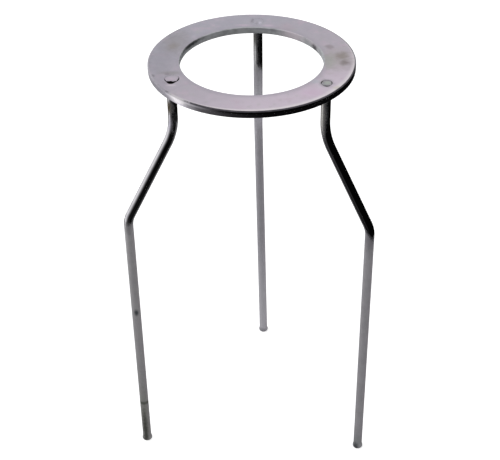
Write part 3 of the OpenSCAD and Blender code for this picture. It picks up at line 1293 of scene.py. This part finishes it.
@dataclass
class RodLeg:
    """One leg: foot, upright run, lower bend, sloping run, upper bend, stub, tenon and peened head."""

    place: LegPlace
    ring: RingPlate
    rod: RodSizes = RodSizes()
    peening: HeadSizes = HeadSizes()
    # how finely it is meshed; pieces are the sections of the stub, the upper bend, the sloping run, the
    # lower bend and the upright run
    around: int = 64
    pieces: tuple[int, int, int, int, int] = (10, 18, 16, 14, 60)
    swell_steps: int = 8
    foot_steps: int = 10
    flank_rows: int = 4

    def seat_frame(self) -> Matrix:
        """Finds where the leg's upper end sits.

        Returns:
            Frame with its origin on the ring's underside, and X away from the ring's axis but for the turn.
        """
        out = Matrix.Rotation(math.radians(self.place.azimuth), 4, "Z")
        away = Matrix.Translation((self.ring.pitch_r, 0, self.ring.bottom_z))
        return out @ away @ Matrix.Rotation(math.radians(self.place.turn), 4, "Z")

    def stations(self) -> list[tuple[Matrix, float, float]]:
        """Runs the rod out from the ring's underside down to the bench.

        Returns:
            Frame, radius and distance along the rod of each cross-section.
        """
        rod = self.rod
        path = RodPath(self.seat_frame())
        path.found.append((path.frame, path.along))
        upper, lower = rod.take(rod.upper_bend_r), rod.take(rod.lower_bend_r)
        stub, outward, slope, inward, upright = self.pieces
        path.run(rod.stub_drop - upper, stub)
        path.bend(rod.upper_bend_r, rod.splay, 0, outward)
        path.run(rod.slope_l - upper - lower, slope)
        path.bend(rod.lower_bend_r, rod.splay, 180 + self.place.roll, inward)
        remaining = path.frame.translation.z / MM / path.frame.col[2].z
        path.run(remaining - rod.foot_h, upright)
        plain = rod.rod_d / 2
        found = [(frame, plain * MM, along) for frame, along in path.found]
        for radius, height in self.foot_profile():
            drop = rod.foot_h - height
            frame = path.frame @ Matrix.Translation((0, 0, -drop * MM))
            found.append((frame, radius * MM, path.along + drop))
        return found

    def foot_profile(self) -> Profile:
        """Draws the upset foot.

        Returns:
            Radii and heights in millimetres, from the rod down to the bench.
        """
        rod = self.rod
        plain, fall = rod.rod_d / 2, rod.foot_edge_r - rod.foot_h
        swell = []
        for t in between(0, 1, self.swell_steps)[1:]:
            eased = t * t * (3 - 2 * t)
            swell.append((plain + rod.foot_swell * eased, rod.foot_h + fall * t))
        corner = (plain + rod.foot_swell - rod.foot_edge_r, rod.foot_edge_r)
        return swell + arc(corner, rod.foot_edge_r, 0, -90, self.foot_steps)[1:]

    def build(self, materials: Sequence[Material]) -> Piece:
        """Builds the leg.

        Args:
            materials: Materials in the order of LegFace.

        Returns:
            The leg.
        """
        draft = MeshDraft()
        angles = [2 * math.pi * i / self.around for i in range(self.around)]
        loops = []
        for frame, radius, along in self.stations():
            ring = [frame @ Vector((radius * math.cos(a), radius * math.sin(a), 0)) for a in angles]
            for p in ring:
                p.z = max(p.z, 0.0)
            loop = draft.add_loop(ring)
            for i, a in zip(loop, angles):
                draft.tags[i] = Vector((radius / MM * math.cos(a), radius / MM * math.sin(a), along))
            loops.append(loop)
        draft.skin(loops[::-1], LegFace.ROD)
        draft.close(loops[-1][::-1], LegFace.ROD)
        self.head(draft, loops[0], angles)
        return draft.to_object(f"{self.place.leg.value}_rod", materials)

    def bearing(self, angle: float) -> float:
        """Bearing of a direction that is given in the leg's own frame, in radians."""
        return math.degrees(angle) + self.place.azimuth + self.place.turn + 90

    def rim_r(self, angle: float) -> float:
        """Works out how far the head reaches in one direction.

        Args:
            angle: The direction in the leg's own frame, in radians.

        Returns:
            Radius of the head's rim there, in metres.
        """
        bearing, riveting = self.bearing(angle), self.place.riveting
        where = Vector((math.cos(angle), math.sin(angle), self.place.azimuth)) * self.peening.ragged_turns
        ragged = 1 + self.peening.raggedness * noise.noise(where)
        return (riveting.edge_r(bearing) - riveting.gap(bearing) * ragged) * MM

    def head_point(self, radius: float, angle: float, z: float) -> Vector:
        """Presses the hammer marks into a point of the head, if it lies on the crown.

        Args:
            radius: Distance from the leg's axis.
            angle: Direction in the leg's own frame, in radians.
            z: Height above the ring's underside.

        Returns:
            The point where it has come to lie, in the scene.
        """
        local = Vector((radius * math.cos(angle), radius * math.sin(angle), z))
        sizes = self.peening
        if z > self.ring.thickness - sizes.hammered_h * MM:
            local.z += sizes.hammer_depth * MM * (noise.noise(local / (sizes.hammer_w * MM)) - 1)
        return self.seat_frame() @ local

    def head(self, draft: MeshDraft, shoulder: list[int], angles: list[float]) -> None:
        """Adds the tenon and the hammered head above the shoulder.

        Args:
            draft: Mesh under construction.
            shoulder: Point loop at the top of the stub.
            angles: Angles of the points round the rod.
        """
        sizes, thickness = self.ring.sizes, self.ring.thickness
        neck_r, neck_z = sizes.tenon_d / 2 * MM, thickness - sizes.sink_depth * MM
        skin, rim_z = self.peening.shoulder_skin * MM, thickness - self.peening.rim_h * MM
        neck = [[self.head_point(neck_r, a, z) for a in angles] for z in (skin, neck_z / 2, neck_z)]
        flank, crown = [], []
        for share in between(0, 1, self.flank_rows)[1:]:
            z = neck_z + (rim_z - neck_z) * share
            flank.append([self.head_point(neck_r + (self.rim_r(a) - neck_r) * share, a, z) for a in angles])
        open_at = {a: self.place.riveting.openness(self.bearing(a)) for a in angles}
        for share, drop in self.peening.edge + tuple((share, 0.0) for share in self.peening.crown):
            height = {a: thickness - drop * open_at[a] * MM for a in angles}
            crown.append([self.head_point(self.rim_r(a) * share, a, height[a]) for a in angles])
        last = shoulder
        for rings, finish in ((neck, LegFace.ROD), (flank, LegFace.NECK), (crown, LegFace.HEAD)):
            loops = [draft.add_loop(ring) for ring in rings]
            draft.skin([last, *loops], finish)
            last = loops[-1]
            for loop in loops:
                for i, a in zip(loop, angles):
                    draft.tags[i] = Vector((math.cos(a), math.sin(a), 0.0))
        draft.close(last, LegFace.HEAD)


# ---------------------------------------------------------------- studio


@dataclass(frozen=True)
class Viewpoint:
    """The camera: where it looks, from which side, and through which lens. Angles in degrees."""

    target: tuple[float, float, float] = (-0.00045, -0.01713, 0.14167)
    azimuth: float = 4.712
    elevation: float = 35.792
    roll: float = -0.702
    distance: float = 0.60743
    lens_mm: float = 84.04
    sensor_mm: float = 36.0
    clip: tuple[float, float] = (0.01, 50.0)

    def build(self) -> None:
        """Makes the scene's camera."""
        az, el = math.radians(self.azimuth), math.radians(self.elevation)
        back = Vector((math.sin(az) * math.cos(el), -math.cos(az) * math.cos(el), math.sin(el)))
        right = Vector((0, 0, 1)).cross(back).normalized()
        up = back.cross(right)
        level = Matrix((right, up, back)).transposed().to_4x4()
        data = bpy.data.cameras.new("camera")
        data.lens = self.lens_mm
        data.sensor_width = self.sensor_mm
        data.clip_start, data.clip_end = self.clip
        camera = bpy.data.objects.new("camera", data)
        place = Matrix.Translation(Vector(self.target) + back * self.distance)
        camera.matrix_world = place @ level @ Matrix.Rotation(math.radians(self.roll), 4, "Z")
        bpy.context.scene.collection.objects.link(camera)
        bpy.context.scene.camera = camera


@dataclass(frozen=True)
class Shades:
    """How bright a card is along one way: stops of place and brightness, in rising order of place."""

    name: str
    stops: tuple[tuple[float, float], ...]

    @property
    def span(self) -> tuple[float, float]:
        """First and last place."""
        return self.stops[0][0], self.stops[-1][0]

    def ramp(self, tree: Tree, place: Socket) -> None:
        """Ends a material's tree with the card's glow.

        Args:
            tree: Node tree to work in.
            place: Place along the way, in the stops' own unit.
        """
        first, last = self.span
        spread = {"Value": place, "From Min": first, "From Max": last}
        share = add_node(tree, Kind.MAP_RANGE, spread).outputs[0]
        ramp = add_node(tree, Kind.RAMP, {"Fac": share})
        elements = ramp.color_ramp.elements
        elements[0].position, elements[-1].position = 0.0, 1.0
        for at, _ in self.stops[1:-1]:
            elements.new((at - first) / (last - first))
        for element, (_, level) in zip(elements, self.stops):
            element.color = (level, level, level, 1)
        glow = add_node(tree, Kind.EMISSION, {"Color": ramp.outputs["Color"]}).outputs[0]
        add_node(tree, Kind.MATERIAL_OUTPUT, {"Surface": glow})

    def by_bearing(self) -> Material:
        """Makes the card's material, whose brightness runs with the bearing from the stand.

        Returns:
            The material.
        """
        material, tree = new_tree(self.name)
        place = add_node(tree, Kind.COORDINATES).outputs["Object"]
        # the gradient goes once round from 0 to 1, and the quarter turn lets it start at the back
        quarter = {"Vector": place, "Rotation": (0, 0, math.radians(90))}
        turned = add_node(tree, Kind.MAPPING, quarter).outputs[0]
        share = add_node(tree, Kind.GRADIENT, {"Vector": turned}, gradient_type="RADIAL").outputs["Fac"]
        degrees = {0: share, 1: 360.0, 2: -180.0}
        self.ramp(tree, add_node(tree, Kind.MATH, degrees, operation="MULTIPLY_ADD").outputs[0])
        return material

    def by_depth(self) -> Material:
        """Makes the card's material, whose brightness runs from front to back, in millimetres along Y.

        Returns:
            The material.
        """
        material, tree = new_tree(self.name)
        self.ramp(tree, add_node(tree, Kind.SEPARATE, {0: millimetres(tree)}).outputs["Y"])
        return material


@dataclass
class Studio:
    """White floor and surround, the grey sheet and the dark cards that the metal mirrors, and the lamp."""

    floor_half: float = 4.0
    sheet_side: float = 0.285
    sheet_front: float = 0.25
    screen_r: float = 0.47
    screen_h: float = 0.34
    card_steps: int = 80
    sheet_steps: int = 72
    card_z: float = 0.3 * MM
    surround_light: float = 0.6
    floor_glow: float = 0.6
    floor_colour: Colour = (0.8, 0.8, 0.8, 1.0)
    lamp_side: float = 1.2
    lamp_watts: float = 14.0
    lamp_place: tuple[float, float, float] = (-1.2, -0.2, 1.6)
    lamp_target: tuple[float, float, float] = (0.0, 0.0, 0.1)
    # the sheet round the feet is black at the front and lighter at the back
    sheet: Shades = Shades(
        "grey paper sheet",
        ((-250, 0.003), (-180, 0.005), (-120, 0.012), (-60, 0.035), (-20, 0.075), (20, 0.15), (60, 0.28)),
    )
    # the table beyond it is bright at the left, where a window lights it, grey at the back, and else black
    table: Shades = Shades(
        "table top card",
        (
            (-180, 0.6),
            (-150, 0.42),
            (-120, 0.3),
            (-106, 0.36),
            (-95, 0.65),
            (-86, 1.1),
            (-80, 1.3),
            (-74, 0.95),
            (-67, 0.48),
            (-52, 0.14),
            (-34, 0.08),
            (-16, 0.03),
            (0, 0.012),
            (20, 0.004),
            (148, 0.004),
            (154, 0.2),
            (162, 0.34),
            (176, 0.34),
            (180, 0.6),
        ),
    )
    # the screen behind the table fades into the window's light at the left
    screen: Shades = Shades(
        "graduated black card",
        (
            (-110, 1.0),
            (-86, 1.25),
            (-74, 0.95),
            (-60, 0.6),
            (-49, 0.3),
            (-38, 0.1),
            (-28, 0.02),
            (-12, 0.002),
            (165, 0.002),
        ),
    )

    def build(self) -> None:
        """Builds the floor, the cards, the lamp and the world."""
        self.surround()
        self.floor()
        self.near_sheet()
        level, high = self.around(self.card_z), self.around(self.screen_h)
        self.band("table_top", (self.sheet_edge, level), self.table)
        self.band("dark_screen", (level, high), self.screen)
        self.lamp()
        bpy.context.scene.view_settings.view_transform = "Standard"

    def seen_directly(self, tree: Tree) -> Socket:
        """Tells the rays by which a thing is seen from the light that falls on things.

        Args:
            tree: Node tree to work in.

        Returns:
            1 for rays from the camera, a mirror or a lens, else 0.
        """
        path = add_node(tree, Kind.LIGHT_PATH).outputs
        pair = {0: path["Is Camera Ray"], 1: path["Is Glossy Ray"]}
        either = add_node(tree, Kind.MATH, pair, operation="MAXIMUM").outputs[0]
        pair = {0: either, 1: path["Is Transmission Ray"]}
        return add_node(tree, Kind.MATH, pair, operation="MAXIMUM").outputs[0]

    def surround(self) -> None:
        """White surround, at full strength where it is seen and softer where it lights matt surfaces."""
        world = bpy.data.worlds.new("white surround")
        bpy.context.scene.world = world
        world.use_nodes = True
        tree = world.node_tree
        tree.nodes.clear()
        lighting = add_node(tree, Kind.LIGHT_PATH).outputs["Is Diffuse Ray"]
        both = {0: lighting, 1: self.surround_light, 2: self.seen_directly(tree)}
        strength = add_node(tree, Kind.MATH, both, operation="MULTIPLY_ADD").outputs[0]
        shade = add_node(tree, Kind.BACKGROUND, {"Color": WHITE, "Strength": strength}).outputs[0]
        add_node(tree, Kind.WORLD_OUTPUT, {"Surface": shade})

    def floor(self) -> None:
        """White floor that keeps the stand's shadow."""
        material, tree = new_tree("matt white studio floor")
        lit = add_node(tree, Kind.DIFFUSE, {"Color": self.floor_colour}).outputs[0]
        scaled = {0: self.seen_directly(tree), 1: self.floor_glow}
        glow = add_node(tree, Kind.MATH, scaled, operation="MULTIPLY").outputs[0]
        own = add_node(tree, Kind.EMISSION, {"Color": WHITE, "Strength": glow}).outputs[0]
        both = add_node(tree, Kind.ADD_SHADER, {0: lit, 1: own}).outputs[0]
        add_node(tree, Kind.MATERIAL_OUTPUT, {"Surface": both})
        draft = MeshDraft()
        half = self.floor_half
        corners = [(-half, -half, 0), (half, -half, 0), (half, half, 0), (-half, half, 0)]
        draft.add_face(draft.add_loop(Vector(c) for c in corners), 0)
        draft.to_object("floor", [material])

    def only_mirrored(self, card: Piece) -> None:
        """Keeps a card out of everything but the reflections in the metal.

        Args:
            card: The card.
        """
        card.visible_camera = False
        card.visible_diffuse = False
        card.visible_shadow = False
        card.visible_transmission = False

    def sheet_edge(self, bearing: float) -> Vector:
        """Point of the sheet's edge in a direction in radians, just above the floor."""
        x, y = self.sheet_side * math.sin(bearing), -self.sheet_front * math.cos(bearing)
        return Vector((x, y, self.card_z))

    def near_sheet(self) -> None:
        """Grey sheet round the stand, which the undersides of the bends mirror."""
        draft = MeshDraft()
        bearings = between(0, 360, self.sheet_steps)[:-1]
        edge = draft.add_loop(self.sheet_edge(math.radians(b)) for b in bearings)
        draft.close(edge, 0)
        self.only_mirrored(draft.to_object("grey_sheet", [self.sheet.by_depth()]))

    def around(self, height: float) -> Callable[[float], Vector]:
        """Edge that runs round at the screen's distance and a given height."""
        return lambda b: Vector((self.screen_r * math.sin(b), -self.screen_r * math.cos(b), height))

    def band(self, name: str, edges: Sequence[Callable[[float], Vector]], shades: Shades) -> None:
        """Adds a card that runs round the stand between two edges.

        Args:
            name: Name of the card.
            edges: Functions that give a point of each edge in a direction, in radians.
            shades: Its brightness by bearing, from the card's one end to the other.
        """
        material, draft = shades.by_bearing(), MeshDraft()
        bearings = [math.radians(b) for b in between(*shades.span, self.card_steps)]
        near, far = (draft.add_loop(edge(b) for b in bearings) for edge in edges)
        for i in range(len(bearings) - 1):
            draft.add_face((near[i], far[i], far[i + 1], near[i + 1]), 0)
        self.only_mirrored(draft.to_object(name, [material]))

    def lamp(self) -> None:
        """One wide soft lamp above and to the left."""
        data = bpy.data.lights.new("soft_box", "AREA")
        data.shape = "RECTANGLE"
        data.size, data.size_y = self.lamp_side, self.lamp_side
        data.energy = self.lamp_watts
        lamp = bpy.data.objects.new("soft_box", data)
        lamp.location = self.lamp_place
        direction = Vector(self.lamp_target) - Vector(self.lamp_place)
        lamp.rotation_euler = direction.to_track_quat("-Z", "Y").to_euler()
        lamp.visible_glossy = False
        bpy.context.scene.collection.objects.link(lamp)


# ---------------------------------------------------------------- putting it together


def dress(piece: Piece, node: str) -> None:
    """Lets a finished piece stand for its CAD node and logs it.

    Args:
        piece: The detailed piece.
        node: The CAD node that it replaces.
    """
    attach(piece, "root")
    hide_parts(node)
    LOG.info("%s stands for %s with %d faces", piece.name, node, len(piece.data.polygons))


def main() -> None:
    """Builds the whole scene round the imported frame."""
    logging.basicConfig(level=logging.INFO, format="%(message)s")
    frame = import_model()
    low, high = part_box("ring")
    opening = next(m for m in frame["record"]["mounts"] if m["name"] == "ring_opening")
    inner_r = opening["dims"]["r_mm"] * MM
    ring = RingPlate(inner_r, outer_r=high.x, top_z=high.z, bottom_z=low.z)
    nickel = SatinNickel().build()
    edges = [metal.build() for metal in (POLISHED_RIM, CORNER_PAINTED_DARK, SHEARED_BORE, SINK_PAINTED_SHADE)]
    dress(ring.build([nickel, *edges]), "ring")
    rods = {finish.leg: finish.build() for finish in ROD_FINISHES}
    for place in LEGS:
        leg = RodLeg(place, ring)
        # the head's flank below its rim takes the countersink's painted shade
        dress(leg.build([rods[place.leg], nickel, edges[-1]]), place.leg.value)
    Studio().build()
    Viewpoint().build()


if __name__ == "__main__":
    main()
